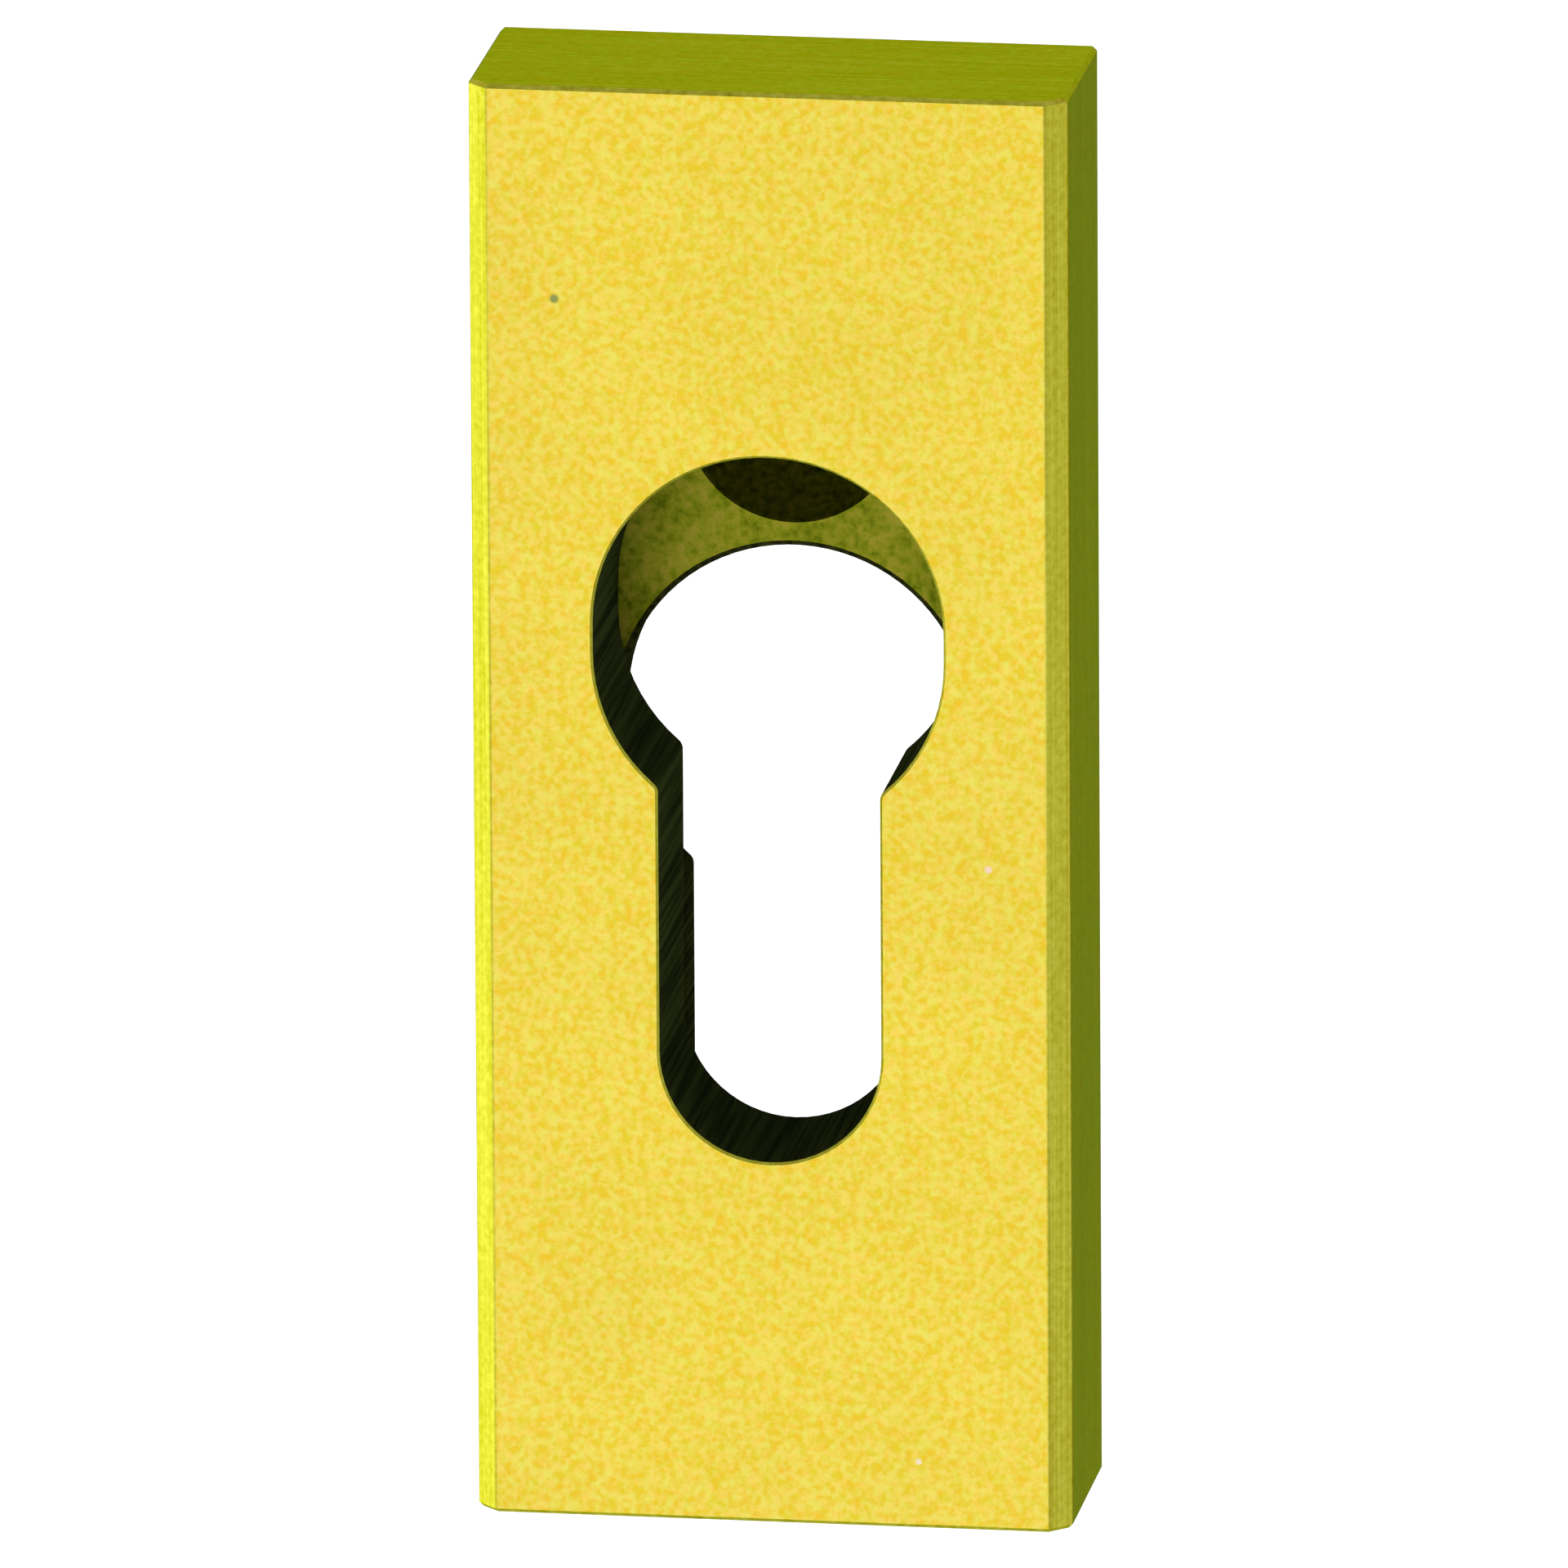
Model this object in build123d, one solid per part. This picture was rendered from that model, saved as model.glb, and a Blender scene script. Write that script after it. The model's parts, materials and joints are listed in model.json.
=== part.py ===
"""Sliding escutcheon for a profile cylinder lock.

A base plate is screwed to the door. A cover bar slides down over it, held by a dovetail, until the end of
the channel in its back meets the top of the plate. The cover is modelled pushed up from there, as it is
pictured.

Millimetres. X runs across the door, Z up, and the front faces -Y. The door's surface is the plane y = 0,
and the origin lies on it, midway between the two screw holes of the base plate.
"""
from build123d import *

import os
from math import cos, radians, tan

# Keyhole opening for a 17 x 33 mm profile cylinder, the same in both pieces. The head is drawn out in height,
# so that the escutcheon can be set a little up or down on the lock.
head_diameter = 17.2
head_drop = 1.5
slot_width = 10.9
opening_height = 35.5
neck_radius = 0.6

# Cover bar
cover_width = 29.3
cover_height = 72.0
cover_front = 11.5
front_chamfer = 1.0
profile_radius = 0.3
rim_chamfer = 0.12
end_break = 0.2

# Base plate
plate_width = 23.8
plate_length = 61.0
plate_thickness = 3.0
plate_corner_radius = 2.0
dovetail_angle = 25.0
plate_edge_break = 0.3

# Countersunk holes for 5 mm wood screws
screw_spacing = 48.5
screw_hole_diameter = 5.3
countersink_diameter = 10.6
countersink_angle = 90.0

# Clearances between the cover, the plate and the door
door_clearance = 0.2
face_clearance = 0.3
side_clearance = 0.15
end_clearance = 0.1
channel_corner_radius = 1.5

# How far the cover is pushed up from its seat on the plate
cover_raised = 6.7

# Extra length on cutters, so that they pass right through
overcut = 2.0


def opening_outline():
    """Long round head over a slot with a half-round foot, centred on its height, in X and Y of its plane."""
    head_radius = head_diameter / 2
    foot_radius = slot_width / 2
    upper_y = opening_height / 2 - head_radius
    lower_y = upper_y - head_drop
    foot_y = foot_radius - opening_height / 2
    head = Pos(0, upper_y) * Circle(head_radius) + Pos(0, lower_y) * Circle(head_radius)
    sides = Pos(0, (upper_y + lower_y) / 2) * Rectangle(head_diameter, head_drop)
    slot = Pos(0, (lower_y + foot_y) / 2) * Rectangle(slot_width, lower_y - foot_y)
    foot = Pos(0, foot_y) * Circle(foot_radius)
    outline = head + sides + slot + foot
    neck_y = lower_y - (head_radius**2 - foot_radius**2) ** 0.5
    necks = outline.vertices().sort_by(lambda vertex: abs(vertex.Y - neck_y))[:2]
    return fillet(necks, neck_radius)


def opening_cutter(front, back, height):
    """The keyhole opening as a solid from y = front to y = back, with its middle at the given height."""
    plane = Plane((0, back, height), x_dir=(1, 0, 0), z_dir=(0, -1, 0))
    return extrude(plane * opening_outline(), amount=back - front)


def dovetail_bar(front, back, clearance, bottom, top):
    """A bar of dovetail section, wide in front and narrow at the door, grown sideways by the clearance."""
    slope = tan(radians(dovetail_angle))
    grown = clearance / cos(radians(dovetail_angle))

    def half_width(y):
        return plate_width / 2 - (y + plate_thickness) * slope + grown

    section = Polyline(
        (-half_width(front), front),
        (half_width(front), front),
        (half_width(back), back),
        (-half_width(back), back),
        close=True,
    )
    return extrude(Pos(0, 0, bottom) * make_face(section), amount=top - bottom)


def corner_edges(bar, z):
    """The two edges of a dovetail bar that run from front to back at its end at height z."""
    end = bar.faces().filter_by(Axis.Z).sort_by(lambda face: abs(face.center().Z - z))[0]
    return end.edges().filter_by(lambda edge: abs(edge.center().X) > plate_width / 4)


def screw_cutter(height):
    """A through hole with a countersink in the plate's front face."""
    hole_radius = screw_hole_diameter / 2
    sink_radius = countersink_diameter / 2
    sink_depth = (sink_radius - hole_radius) / tan(radians(countersink_angle / 2))
    inward = Plane((0, -plate_thickness, height), x_dir=(1, 0, 0), z_dir=(0, 1, 0))
    low = (Align.CENTER, Align.CENTER, Align.MIN)
    hole = Cylinder(hole_radius, plate_thickness + overcut, align=low)
    sink = Cone(sink_radius, hole_radius, sink_depth, align=low)
    return inward * (hole + sink)


def make_base_plate():
    """Flat steel plate with dovetail sides, rounded corners, the keyhole opening and two screw holes."""
    half_length = plate_length / 2
    plate = dovetail_bar(-plate_thickness, 0, 0, -half_length, half_length)
    corners = corner_edges(plate, half_length) + corner_edges(plate, -half_length)
    plate = fillet(corners, plate_corner_radius)
    plate -= opening_cutter(-plate_thickness - overcut, overcut, 0)
    front_face = plate.faces().sort_by(Axis.Y)[0]
    plate = chamfer(front_face.edges(), plate_edge_break)
    for side in (-1, 1):
        plate -= screw_cutter(side * screw_spacing / 2)
    return plate


def make_cover():
    """Extruded bar with chamfered front edges, milled from behind for the plate and through for the lock."""
    back = -door_clearance
    bottom = cover_raised - cover_height / 2
    channel_top = cover_raised + plate_length / 2 + end_clearance
    depth = cover_front - door_clearance
    section = Pos(0, back - depth / 2) * Rectangle(cover_width, depth)
    front_corners = section.vertices().group_by(Axis.Y)[0]
    section = chamfer(front_corners, front_chamfer)
    section = fillet(section.vertices(), profile_radius)
    bar = extrude(Pos(0, 0, bottom) * section, amount=cover_height)
    ends = bar.faces().filter_by(Axis.Z)
    bar = chamfer(ends.edges(), end_break)

    floor = -plate_thickness - face_clearance
    channel = dovetail_bar(floor, overcut, side_clearance, bottom - overcut, channel_top)
    channel = fillet(corner_edges(channel, channel_top), channel_corner_radius)
    bar -= channel
    bar -= opening_cutter(-cover_front - overcut, floor + overcut, cover_raised)

    front_face = bar.faces().filter_by(Axis.Y).sort_by(Axis.Y)[0]
    return chamfer(front_face.inner_wires()[0].edges(), rim_chamfer)


os.makedirs("parts", exist_ok=True)
export_step(make_base_plate(), "parts/base_plate.step")
export_step(make_cover(), "parts/cover.step")
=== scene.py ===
import json
from math import cos, pi, radians, sin

import bpy
import numpy as np
from mathutils import Matrix, Vector


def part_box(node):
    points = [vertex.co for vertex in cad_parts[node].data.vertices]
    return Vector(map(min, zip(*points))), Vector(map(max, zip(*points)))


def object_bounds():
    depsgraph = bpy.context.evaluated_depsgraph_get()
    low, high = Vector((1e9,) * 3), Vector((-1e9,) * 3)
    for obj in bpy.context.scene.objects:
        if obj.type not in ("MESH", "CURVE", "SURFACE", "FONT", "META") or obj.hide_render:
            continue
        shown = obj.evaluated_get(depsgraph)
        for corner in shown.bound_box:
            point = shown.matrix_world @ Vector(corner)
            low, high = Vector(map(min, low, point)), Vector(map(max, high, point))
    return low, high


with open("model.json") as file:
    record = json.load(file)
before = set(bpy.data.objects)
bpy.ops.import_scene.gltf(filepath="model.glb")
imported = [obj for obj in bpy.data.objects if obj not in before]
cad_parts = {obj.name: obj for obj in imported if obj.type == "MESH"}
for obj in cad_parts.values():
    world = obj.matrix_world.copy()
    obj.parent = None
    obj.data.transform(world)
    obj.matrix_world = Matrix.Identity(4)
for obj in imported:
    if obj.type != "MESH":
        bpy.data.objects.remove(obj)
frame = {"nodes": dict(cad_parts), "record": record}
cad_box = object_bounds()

# Base plate: flat steel punched out, milled to a dovetail along both sides, zinc plated and yellow
# passivated. Two countersunk wood screws hold it on the door, and the cover slides down over it.
MM = 0.001
SCREW_SPACING = frame["record"]["mounts"][0]["dims"]["spacing_y_mm"] * MM
# Half the width and half the height of a box that the keyhole opening fits into
OPENING_HALF = Vector((9.2, 0.0, 18.6)) * MM


def linear(hex_colour):
    """An sRGB hex colour as linear red, green, blue and alpha.

    c / 12.92 up to 0.04045, and ((c + 0.055) / 1.055)^2.4 above.
    """
    c = np.array([int(hex_colour[i:i + 2], 16) for i in (1, 3, 5)]) / 255
    rgb = np.where(c <= 0.04045, c / 12.92, ((c + 0.055) / 1.055) ** 2.4)
    return (*rgb.tolist(), 1.0)


def add(owner, kind, inputs=None, stops=(), **settings):
    """Adds a node of this kind, sets its properties, and gives each named input its value or its link.

    A Mix node's names repeat, so its inputs go by number: 0 is the factor, 2 and 3 are the values, 4 and 5
    the vectors, 6 and 7 the colours. A colour ramp also gets its stops, each a position and an sRGB hex
    colour.
    """
    tree = owner.node_tree
    node = tree.nodes.new(kind)
    for name, value in settings.items():
        setattr(node, name, value)
    for name, value in (inputs or {}).items():
        if isinstance(value, bpy.types.NodeSocket):
            tree.links.new(value, node.inputs[name])
        else:
            node.inputs[name].default_value = value
    if stops:
        elements = node.color_ramp.elements
        for _ in stops[2:]:
            elements.new(1.0)
        for element, (position, hex_colour) in zip(elements, stops):
            element.position = position
            element.color = linear(hex_colour)
    return node


def opening_walls(material, place, facing, centre, edge):
    """1 on the walls of the keyhole opening round this centre and 0 elsewhere.

    The walls are where |x| and |z - centre| lie within the opening's box, and where facing, which is |n_y|,
    lies below the edge value.
    """
    blend = 0.1
    offset = add(material, "ShaderNodeVectorMath", {0: place, 1: centre}, operation="SUBTRACT")
    size = add(material, "ShaderNodeVectorMath", {0: offset.outputs["Vector"]}, operation="ABSOLUTE")
    reach = add(material, "ShaderNodeSeparateXYZ", {"Vector": size.outputs["Vector"]})
    across = add(material, "ShaderNodeMath", {0: reach.outputs["X"], 1: OPENING_HALF.x},
                 operation="LESS_THAN")
    along = add(material, "ShaderNodeMath", {0: reach.outputs["Z"], 1: OPENING_HALF.z},
                operation="LESS_THAN")
    inside = add(material, "ShaderNodeMath", {0: across.outputs[0], 1: along.outputs[0]},
                 operation="MULTIPLY")
    upright = add(material, "ShaderNodeMapRange",
                  {"Value": facing, "From Min": edge, "From Max": edge - blend})
    walls = add(material, "ShaderNodeMath", {0: inside.outputs[0], 1: upright.outputs["Result"]},
                operation="MULTIPLY")
    return walls.outputs[0]


def passivated_zinc_on_steel():
    """Yellow passivated zinc on cold rolled steel: olive, speckled, with clouds of green and brown.

    The countersinks carry turning rings: sin(2 pi r / pitch) of the distance r from the screw's axis. The
    walls of the opening, made by the punch, and their front edge are matt and streaked along y, and their
    near black colour is painted shade.
    """
    material = bpy.data.materials.new("passivated_zinc_on_steel")
    material.use_nodes = True
    material.node_tree.nodes.clear()
    # Grain, punch marks and rings are several times finer on a real plate. They are drawn coarser here, so
    # that they show.
    cloud_size = 3.0 * MM
    grain_size = 0.4 * MM
    grain_share = 0.6
    punch_marks = Vector((1 / 0.3, 1 / 8, 1 / 0.3)) / MM
    ring_pitch = 0.5 * MM
    relief_depth = 0.02 * MM
    # The countersink's radius, with a little to spare
    sink_reach = 5.35 * MM
    # |n_y| is 1 on the front and back, 0.71 on the broken edges and in the countersinks, and 0 on the walls.
    flat = 0.9
    broken_edge = 0.85

    coords = add(material, "ShaderNodeTexCoord")
    place = coords.outputs["Object"]
    turn = add(material, "ShaderNodeVectorMath", {0: coords.outputs["Normal"]}, operation="ABSOLUTE")
    slope = add(material, "ShaderNodeSeparateXYZ", {"Vector": turn.outputs["Vector"]})
    walls = opening_walls(material, place, slope.outputs["Y"], (0.0, 0.0, 0.0), broken_edge)
    clouds = add(material, "ShaderNodeTexNoise", {"Vector": place, "Scale": 1 / cloud_size, "Detail": 3.0})
    grain = add(material, "ShaderNodeTexNoise", {"Vector": place, "Scale": 1 / grain_size, "Detail": 2.0})
    mottle = add(material, "ShaderNodeMix",
                 {0: grain_share, 2: clouds.outputs["Fac"], 3: grain.outputs["Fac"]})
    streaked = add(material, "ShaderNodeVectorMath", {0: place, 1: punch_marks}, operation="MULTIPLY")
    streaks = add(material, "ShaderNodeTexNoise", {"Vector": streaked.outputs["Vector"], "Scale": 1.0})
    # The plate's own olive plating, drawn darker all over: the darkening is painted shade, for the plate
    # lies in the recess behind the cover.
    plated_with_painted_shade = add(material, "ShaderNodeValToRGB", {"Fac": mottle.outputs[0]},
                 stops=((0.35, "#525E08"), (0.5, "#7B8018"), (0.65, "#9A9030")))
    # The walls of the opening and their front edge: punch streaks on a near black colour that is painted
    # shade.
    punched_painted_shade = add(material, "ShaderNodeValToRGB", {"Fac": streaks.outputs["Fac"]},
                  stops=((0.35, "#141808"), (0.65, "#303414")))
    colour = add(material, "ShaderNodeMix",
                 {0: walls, 6: plated_with_painted_shade.outputs["Color"], 7: punched_painted_shade.outputs["Color"]}, data_type="RGBA")
    metal = add(material, "ShaderNodeMath", {0: 1.0, 1: walls}, operation="SUBTRACT")
    gloss = add(material, "ShaderNodeMapRange",
                {"Value": grain.outputs["Fac"], "To Min": 0.36, "To Max": 0.56})
    rough = add(material, "ShaderNodeMath", {0: gloss.outputs["Result"], 1: walls}, operation="MAXIMUM")

    folded = add(material, "ShaderNodeVectorMath", {0: place}, operation="ABSOLUTE")
    arm = add(material, "ShaderNodeVectorMath",
              {0: folded.outputs["Vector"], 1: (0.0, 0.0, SCREW_SPACING / 2)}, operation="SUBTRACT")
    level_arm = add(material, "ShaderNodeVectorMath", {0: arm.outputs["Vector"], 1: (1.0, 0.0, 1.0)},
                    operation="MULTIPLY")
    radius = add(material, "ShaderNodeVectorMath", {0: level_arm.outputs["Vector"]}, operation="LENGTH")
    phase = add(material, "ShaderNodeMath", {0: radius.outputs["Value"], 1: 2 * pi / ring_pitch},
                operation="MULTIPLY")
    wave = add(material, "ShaderNodeMath", {0: phase.outputs[0]}, operation="SINE")
    sloped = add(material, "ShaderNodeMath", {0: slope.outputs["Y"], 1: flat}, operation="LESS_THAN")
    near = add(material, "ShaderNodeMath", {0: radius.outputs["Value"], 1: sink_reach},
               operation="LESS_THAN")
    sunk = add(material, "ShaderNodeMath", {0: near.outputs[0], 1: sloped.outputs[0]}, operation="MULTIPLY")
    rings = add(material, "ShaderNodeMath", {0: wave.outputs[0], 1: sunk.outputs[0]}, operation="MULTIPLY")
    height = add(material, "ShaderNodeMath", {0: rings.outputs[0], 1: grain.outputs["Fac"]})
    relief = add(material, "ShaderNodeBump",
                 {"Height": height.outputs[0], "Distance": relief_depth, "Strength": 0.4})
    # The specular level takes the gloss off the matt walls. It has no effect on the metal.
    skin = add(material, "ShaderNodeBsdfPrincipled", {
        "Base Color": colour.outputs[2],
        "Metallic": metal.outputs[0],
        "Roughness": rough.outputs[0],
        "Specular IOR Level": 0.0,
        "Specular Tint": linear("#E6EC6A"),
        "Normal": relief.outputs["Normal"],
    })
    add(material, "ShaderNodeOutputMaterial", {"Surface": skin.outputs["BSDF"]})
    return material


base_plate = frame["nodes"]["base_plate"]
base_plate.material_slots[0].material = passivated_zinc_on_steel()

# Cover: a length of extruded aluminium bar with chamfered long edges, sawn square, milled through for the
# lock and from behind for the plate, then satin etched in front and gold anodised.
COVER_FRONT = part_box("cover")[0].y
COVER_MIDDLE = sum(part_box("cover"), Vector()).z / 2
MARKS = (
    # across, up, width, colour: one dark nick and two chips that show the bare metal
    (-10.36 * MM, 32.1 * MM, 0.56 * MM, "#8F9A55"),
    (10.76 * MM, 4.16 * MM, 0.46 * MM, "#F6DCC2"),
    (7.22 * MM, -25.92 * MM, 0.38 * MM, "#F6E2C8"),
)


def gold_anodised_aluminium():
    """Gold anodised aluminium with a fine mottled grain, between a redder and a greener gold.

    The front is etched to an even satin. The other faces carry the lines of the tool that made them: a noise
    stretched along the bar on the long faces, across the bar on the sawn ends, and along the cutter's axis
    on the walls of the opening, cut by the mill, which are matt, and whose near black colour is painted
    shade.
    Sides and ends are smoother than the front. The chamfers are drawn a yellow gold greener than the front:
    a painted tint for how light and shade fall on them, on a bar that is one gold. At a flat angle light
    crosses more of the dyed film, so the specular tint turns olive there.
    """
    material = bpy.data.materials.new("gold_anodised_aluminium")
    material.use_nodes = True
    material.node_tree.nodes.clear()
    # Grain, dye spots and tool lines are several times finer on a real bar. They are drawn coarser here, so
    # that they show.
    grain_size = 0.38 * MM
    grain_share = 0.5
    dye_size = 0.55 * MM
    cloud_size = 9.0 * MM
    die_lines = Vector((1 / 0.2, 1 / 0.2, 1 / 30)) / MM
    saw_marks = Vector((1 / 12, 1 / 0.3, 1 / 0.3)) / MM
    mill_marks = Vector((1 / 0.3, 1 / 15, 1 / 0.3)) / MM
    relief_depth = 0.06 * MM
    # |n_y| is 1 on the front and back, 0.71 on the chamfers, and 0 on the sides, the ends and the walls of
    # the opening. |n_z| is 1 on the ends.
    flat_min, flat_max = 0.93, 0.995
    tilted_min, tilted_max = 0.3, 0.6
    end_min, end_max = 0.5, 0.8

    coords = add(material, "ShaderNodeTexCoord")
    place = coords.outputs["Object"]
    grain = add(material, "ShaderNodeTexNoise",
                {"Vector": place, "Scale": 1 / grain_size, "Detail": 2.0, "Roughness": 0.6})
    dye = add(material, "ShaderNodeTexNoise", {"Vector": place, "Scale": 1 / dye_size, "Detail": 1.0})
    clouds = add(material, "ShaderNodeTexNoise", {"Vector": place, "Scale": 1 / cloud_size, "Detail": 1.0})

    facing = add(material, "ShaderNodeVectorMath",
                 {0: coords.outputs["Normal"], 1: (0.0, -1.0, 0.0)}, operation="DOT_PRODUCT")
    front = add(material, "ShaderNodeMapRange",
                {"Value": facing.outputs["Value"], "From Min": flat_min, "From Max": flat_max})
    turn = add(material, "ShaderNodeVectorMath", {0: coords.outputs["Normal"]}, operation="ABSOLUTE")
    slope = add(material, "ShaderNodeSeparateXYZ", {"Vector": turn.outputs["Vector"]})
    sawn = add(material, "ShaderNodeMapRange",
               {"Value": slope.outputs["Z"], "From Min": end_min, "From Max": end_max})
    level = add(material, "ShaderNodeMapRange",
                {"Value": slope.outputs["Y"], "From Min": flat_min, "From Max": flat_max})
    tilted = add(material, "ShaderNodeMapRange",
                 {"Value": slope.outputs["Y"], "From Min": tilted_min, "From Max": tilted_max})
    chamfers = add(material, "ShaderNodeMath", {0: tilted.outputs["Result"], 1: level.outputs["Result"]},
                   operation="SUBTRACT")
    walls = opening_walls(material, place, slope.outputs["Y"], (0.0, 0.0, COVER_MIDDLE), tilted_max)
    end_stretch = add(material, "ShaderNodeMix", {0: sawn.outputs["Result"], 4: die_lines, 5: saw_marks},
                      data_type="VECTOR")
    stretch = add(material, "ShaderNodeMix", {0: walls, 4: end_stretch.outputs[1], 5: mill_marks},
                  data_type="VECTOR")
    stretched = add(material, "ShaderNodeVectorMath", {0: place, 1: stretch.outputs[1]},
                    operation="MULTIPLY")
    lines = add(material, "ShaderNodeTexNoise",
                {"Vector": stretched.outputs["Vector"], "Scale": 1.0, "Detail": 2.0})
    drawn = add(material, "ShaderNodeMix",
                {0: front.outputs["Result"], 2: lines.outputs["Fac"], 3: grain.outputs["Fac"]})
    mottle = add(material, "ShaderNodeMix",
                 {0: 1 - grain_share, 2: grain.outputs["Fac"], 3: drawn.outputs[0]})

    redder = add(material, "ShaderNodeValToRGB", {"Fac": mottle.outputs[0]},
                 stops=((0.35, "#EAC430"), (0.65, "#FAE068")))
    greener = add(material, "ShaderNodeValToRGB", {"Fac": mottle.outputs[0]},
                  stops=((0.35, "#E2CC32"), (0.65, "#F3E86A")))
    uneven = add(material, "ShaderNodeMapRange",
                 {"Value": dye.outputs["Fac"], "From Min": 0.35, "From Max": 0.65})
    dyed = add(material, "ShaderNodeMix",
               {0: uneven.outputs["Result"], 6: redder.outputs["Color"], 7: greener.outputs["Color"]},
               data_type="RGBA")
    # The chamfers' greener yellow is painted light and shade: a tint for how light falls on faces turned
    # from the front, on a bar that is one gold.
    lemon_painted_tint = add(material, "ShaderNodeValToRGB", {"Fac": mottle.outputs[0]},
                stops=((0.33, "#D0C926"), (0.67, "#FBF660")))
    # The walls of the opening: the cutter's lines on a near black colour that is painted shade.
    milled_painted_shade = add(material, "ShaderNodeValToRGB", {"Fac": lines.outputs["Fac"]},
                 stops=((0.35, "#1E2410"), (0.65, "#363F1D")))
    faces = add(material, "ShaderNodeMix",
                {0: chamfers.outputs[0], 6: dyed.outputs[2], 7: lemon_painted_tint.outputs["Color"]}, data_type="RGBA")
    colour = add(material, "ShaderNodeMix", {0: walls, 6: faces.outputs[2], 7: milled_painted_shade.outputs["Color"]},
                 data_type="RGBA")
    for across, up, width, hex_colour in MARKS:
        apart = add(material, "ShaderNodeVectorMath", {0: place, 1: (across, COVER_FRONT, up)},
                    operation="DISTANCE")
        mark = add(material, "ShaderNodeMapRange",
                   {"Value": apart.outputs["Value"], "From Min": width / 2, "From Max": width / 4})
        colour = add(material, "ShaderNodeMix",
                     {0: mark.outputs["Result"], 6: colour.outputs[2], 7: linear(hex_colour)},
                     data_type="RGBA")

    metal = add(material, "ShaderNodeMath", {0: 1.0, 1: walls}, operation="SUBTRACT")
    satin = add(material, "ShaderNodeMapRange", {"Value": mottle.outputs[0], "To Min": 0.4, "To Max": 0.6})
    smooth = add(material, "ShaderNodeMapRange",
                 {"Value": mottle.outputs[0], "To Min": 0.22, "To Max": 0.42})
    gloss = add(material, "ShaderNodeMix",
                {0: tilted.outputs["Result"], 2: smooth.outputs["Result"], 3: satin.outputs["Result"]})
    worn = add(material, "ShaderNodeMapRange",
               {"Value": clouds.outputs["Fac"], "To Min": -0.03, "To Max": 0.03})
    patchy = add(material, "ShaderNodeMath", {0: gloss.outputs[0], 1: worn.outputs["Result"]})
    rough = add(material, "ShaderNodeMath", {0: patchy.outputs[0], 1: walls}, operation="MAXIMUM")
    relief = add(material, "ShaderNodeBump",
                 {"Height": mottle.outputs[0], "Distance": relief_depth, "Strength": 0.5})
    # The specular level takes the gloss off the matt walls. It has no effect on the metal.
    skin = add(material, "ShaderNodeBsdfPrincipled", {
        "Base Color": colour.outputs[2],
        "Metallic": metal.outputs[0],
        "Roughness": rough.outputs[0],
        "Specular IOR Level": 0.0,
        "Specular Tint": linear("#C2FF3F"),
        "Normal": relief.outputs["Normal"],
    })
    add(material, "ShaderNodeOutputMaterial", {"Surface": skin.outputs["BSDF"]})
    return material


cover = frame["nodes"]["cover"]
cover.material_slots[0].material = gold_anodised_aluminium()

# Floor: a plain pale studio floor, matt white paint. It lies well below the part, so that the part can be
# seen from below as well. Sizes in metres.
FLOOR_DROP = 2.5
FLOOR_SIDE = 60.0


def matt_white_paint():
    """Matt white floor paint, with no gloss."""
    material = bpy.data.materials.new("matt_white_paint")
    material.use_nodes = True
    material.node_tree.nodes.clear()
    skin = add(material, "ShaderNodeBsdfDiffuse", {"Color": linear("#F2F2F2")})
    add(material, "ShaderNodeOutputMaterial", {"Surface": skin.outputs["BSDF"]})
    return material


half = FLOOR_SIDE / 2
corners = [(x, y, -FLOOR_DROP) for x, y in ((-half, -half), (half, -half), (half, half), (-half, half))]
floor_mesh = bpy.data.meshes.new("floor")
floor_mesh.from_pydata(corners, [], [(0, 1, 2, 3)])
floor = bpy.data.objects.new("floor", floor_mesh)
floor.data.materials.append(matt_white_paint())
floor.visible_glossy = False
bpy.context.scene.collection.objects.link(floor)

# Light: soft boxes in front and at both sides, in a studio with grey walls, a pale floor and a pale
# ceiling, before a white backdrop. One more light, overhead, whitens the floor alone.
PART_CENTRE = sum(cad_box, Vector()) / 2


def direction(azimuth, elevation):
    """The unit vector from the part towards an azimuth, to the right of the front, and an elevation."""
    a, e = radians(azimuth), radians(elevation)
    return Vector((sin(a) * cos(e), -cos(a) * cos(e), sin(e)))


def soft_box(name, azimuth, elevation, distance, width, radiance):
    """Adds a square area light that faces the part. Its power is radiance times pi times its area."""
    data = bpy.data.lights.new(name, "AREA")
    data.size = width
    data.energy = radiance * pi * width**2
    lamp = bpy.data.objects.new(name, data)
    towards = direction(azimuth, elevation)
    lamp.location = PART_CENTRE + towards * distance
    lamp.rotation_mode = "QUATERNION"
    lamp.rotation_quaternion = towards.to_track_quat("Z", "Y")
    lamp.visible_camera = False
    bpy.context.scene.collection.objects.link(lamp)


soft_box("front_box", azimuth=-9, elevation=-16, distance=1.2, width=1.3, radiance=1.1)
soft_box("left_box", azimuth=-98, elevation=-15, distance=1.2, width=1.3, radiance=1.15)
soft_box("right_box", azimuth=92, elevation=-8, distance=1.2, width=0.8, radiance=0.57)
sun = bpy.data.lights.new("overhead", "SUN")
sun.energy = 3.0
sun.angle = radians(40)
overhead = bpy.data.objects.new("overhead", sun)
bpy.context.scene.collection.objects.link(overhead)
lit_floor = bpy.data.collections.new("lit_by_overhead")
lit_floor.objects.link(floor)
overhead.light_linking.receiver_collection = lit_floor

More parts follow.
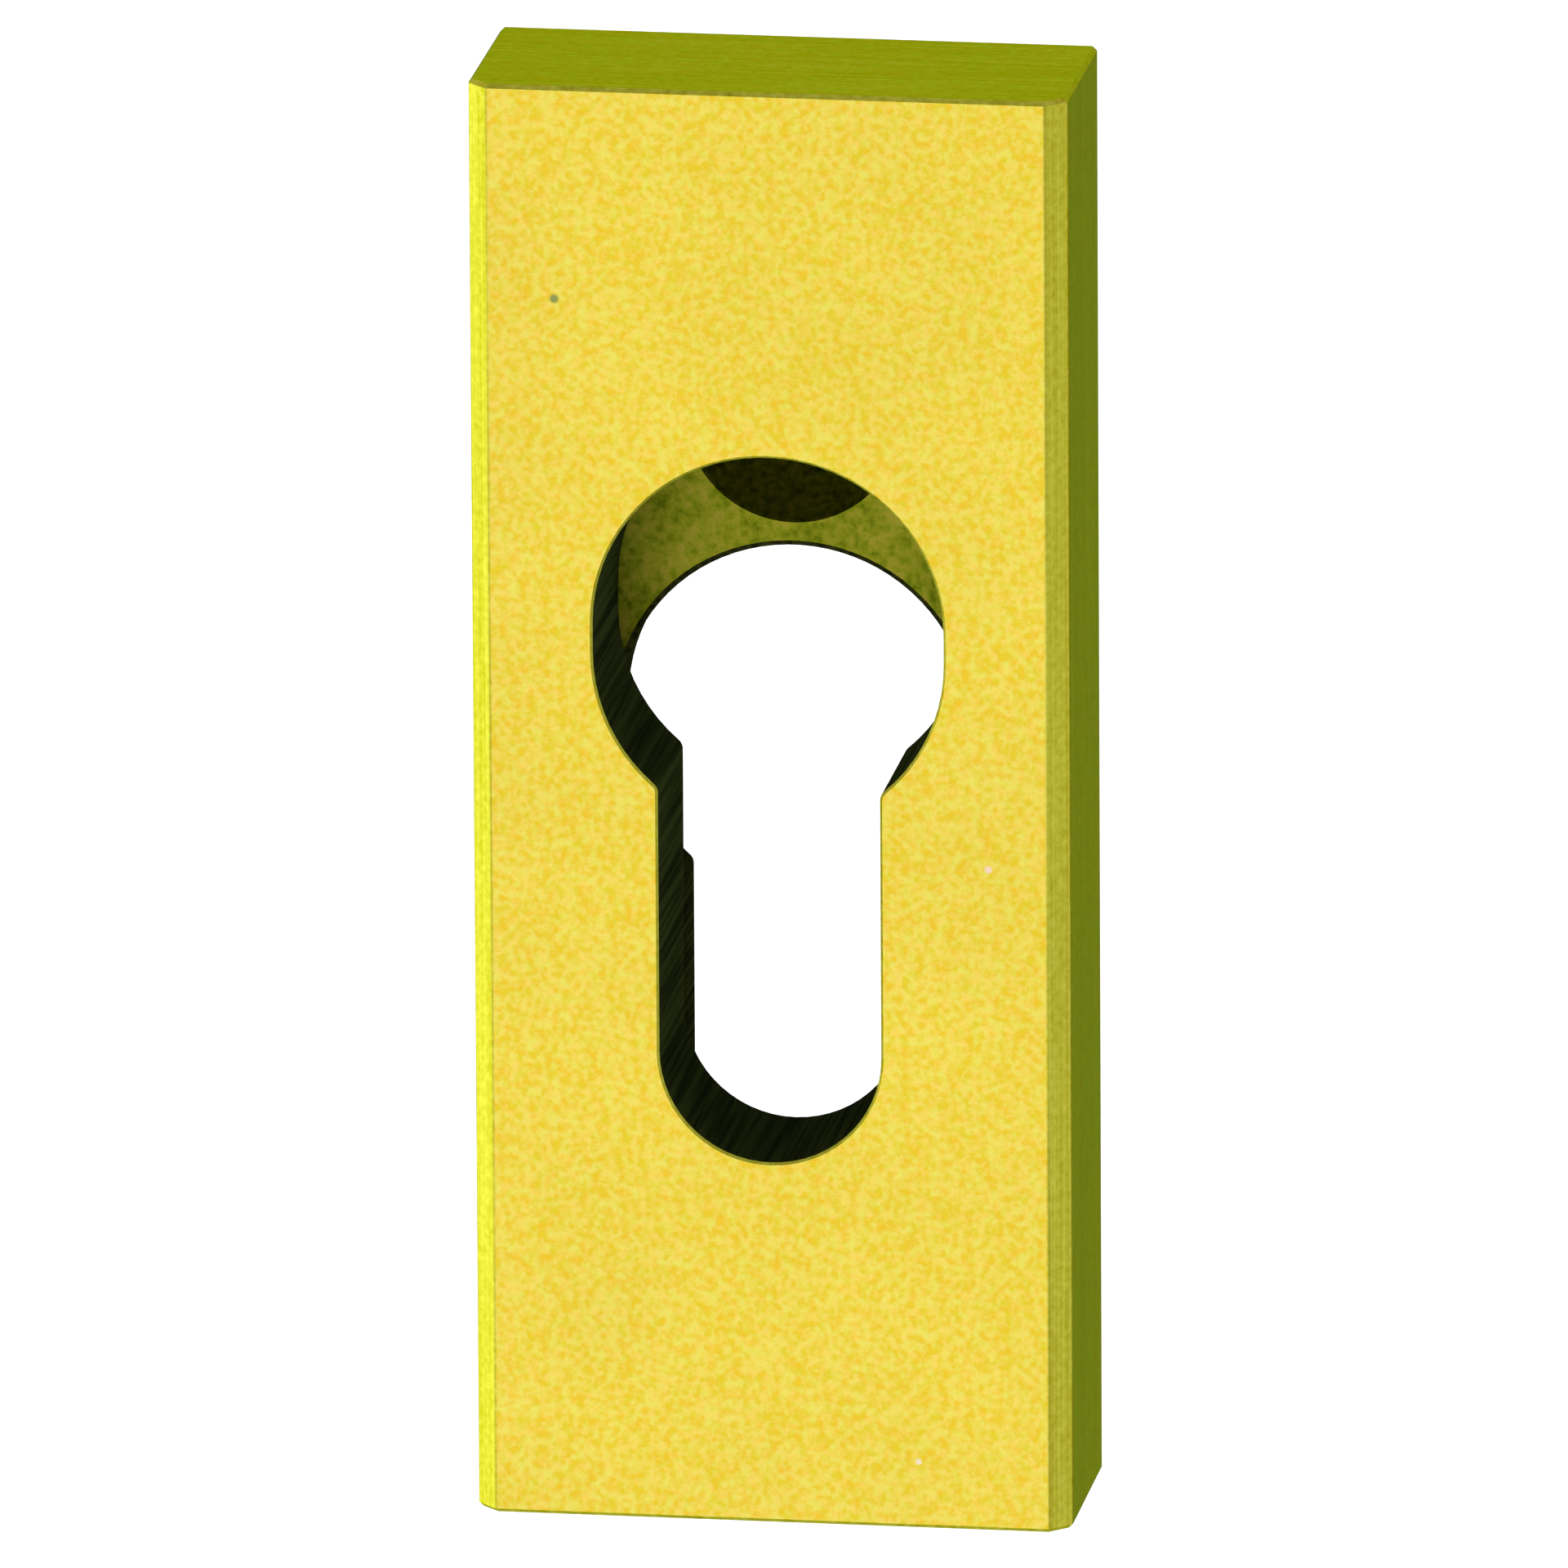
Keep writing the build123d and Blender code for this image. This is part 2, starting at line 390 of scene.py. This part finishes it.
world = bpy.data.worlds.new("grey_studio")
world.use_nodes = True
world.node_tree.nodes.clear()
towards = add(world, "ShaderNodeTexCoord")
height = add(world, "ShaderNodeSeparateXYZ", {"Vector": towards.outputs["Generated"]})
band = add(world, "ShaderNodeMapRange", {"Value": height.outputs["Z"], "From Min": -1.0, "From Max": 1.0})
# From straight down at 0, past the level at 0.5, to straight up at 1
studio = add(world, "ShaderNodeValToRGB", {"Fac": band.outputs["Result"]}, stops=(
    (0.0, "#B0B0B0"),
    (0.2, "#BCBCBC"),
    (0.37, "#828282"),
    (0.5, "#969696"),
    (0.63, "#AEAEAE"),
    (0.8, "#BEBEBE"),
    (1.0, "#8A8A8A"),
))
path = add(world, "ShaderNodeLightPath")
seen = add(world, "ShaderNodeMix",
           {0: path.outputs["Is Camera Ray"], 6: studio.outputs["Color"], 7: linear("#FFFFFF")},
           data_type="RGBA")
background = add(world, "ShaderNodeBackground", {"Color": seen.outputs[2]})
add(world, "ShaderNodeOutputWorld", {"Surface": background.outputs["Background"]})
bpy.context.scene.world = world
bpy.context.scene.view_settings.view_transform = "Standard"

# Camera: a long lens in front of the part, a little to the right of it and above, so that the top, the right
# side and the left wall of the opening show. Angles in degrees, distance in metres.
AZIMUTH = 8.626
ELEVATION = 15.56
ROLL = -0.317
DISTANCE = 2.0
FRAME_WIDTH = 76.32 * MM
AIM = Vector((0.0, -5.0 * MM, COVER_MIDDLE))
AIM_RIGHT = 0.217 * MM
AIM_UP = 0.388 * MM

back = direction(AZIMUTH, ELEVATION)
level = direction(AZIMUTH + 90, 0)
upright = back.cross(level)
right = level * cos(radians(ROLL)) + upright * sin(radians(ROLL))
up = upright * cos(radians(ROLL)) - level * sin(radians(ROLL))
lens = bpy.data.cameras.new("camera")
lens.lens = lens.sensor_width * DISTANCE / FRAME_WIDTH
lens.clip_end = 100
camera = bpy.data.objects.new("camera", lens)
eye = AIM - right * AIM_RIGHT - up * AIM_UP + back * DISTANCE
camera.matrix_world = Matrix.Translation(eye) @ Matrix((right, up, back)).transposed().to_4x4()
bpy.context.scene.collection.objects.link(camera)
bpy.context.scene.camera = camera
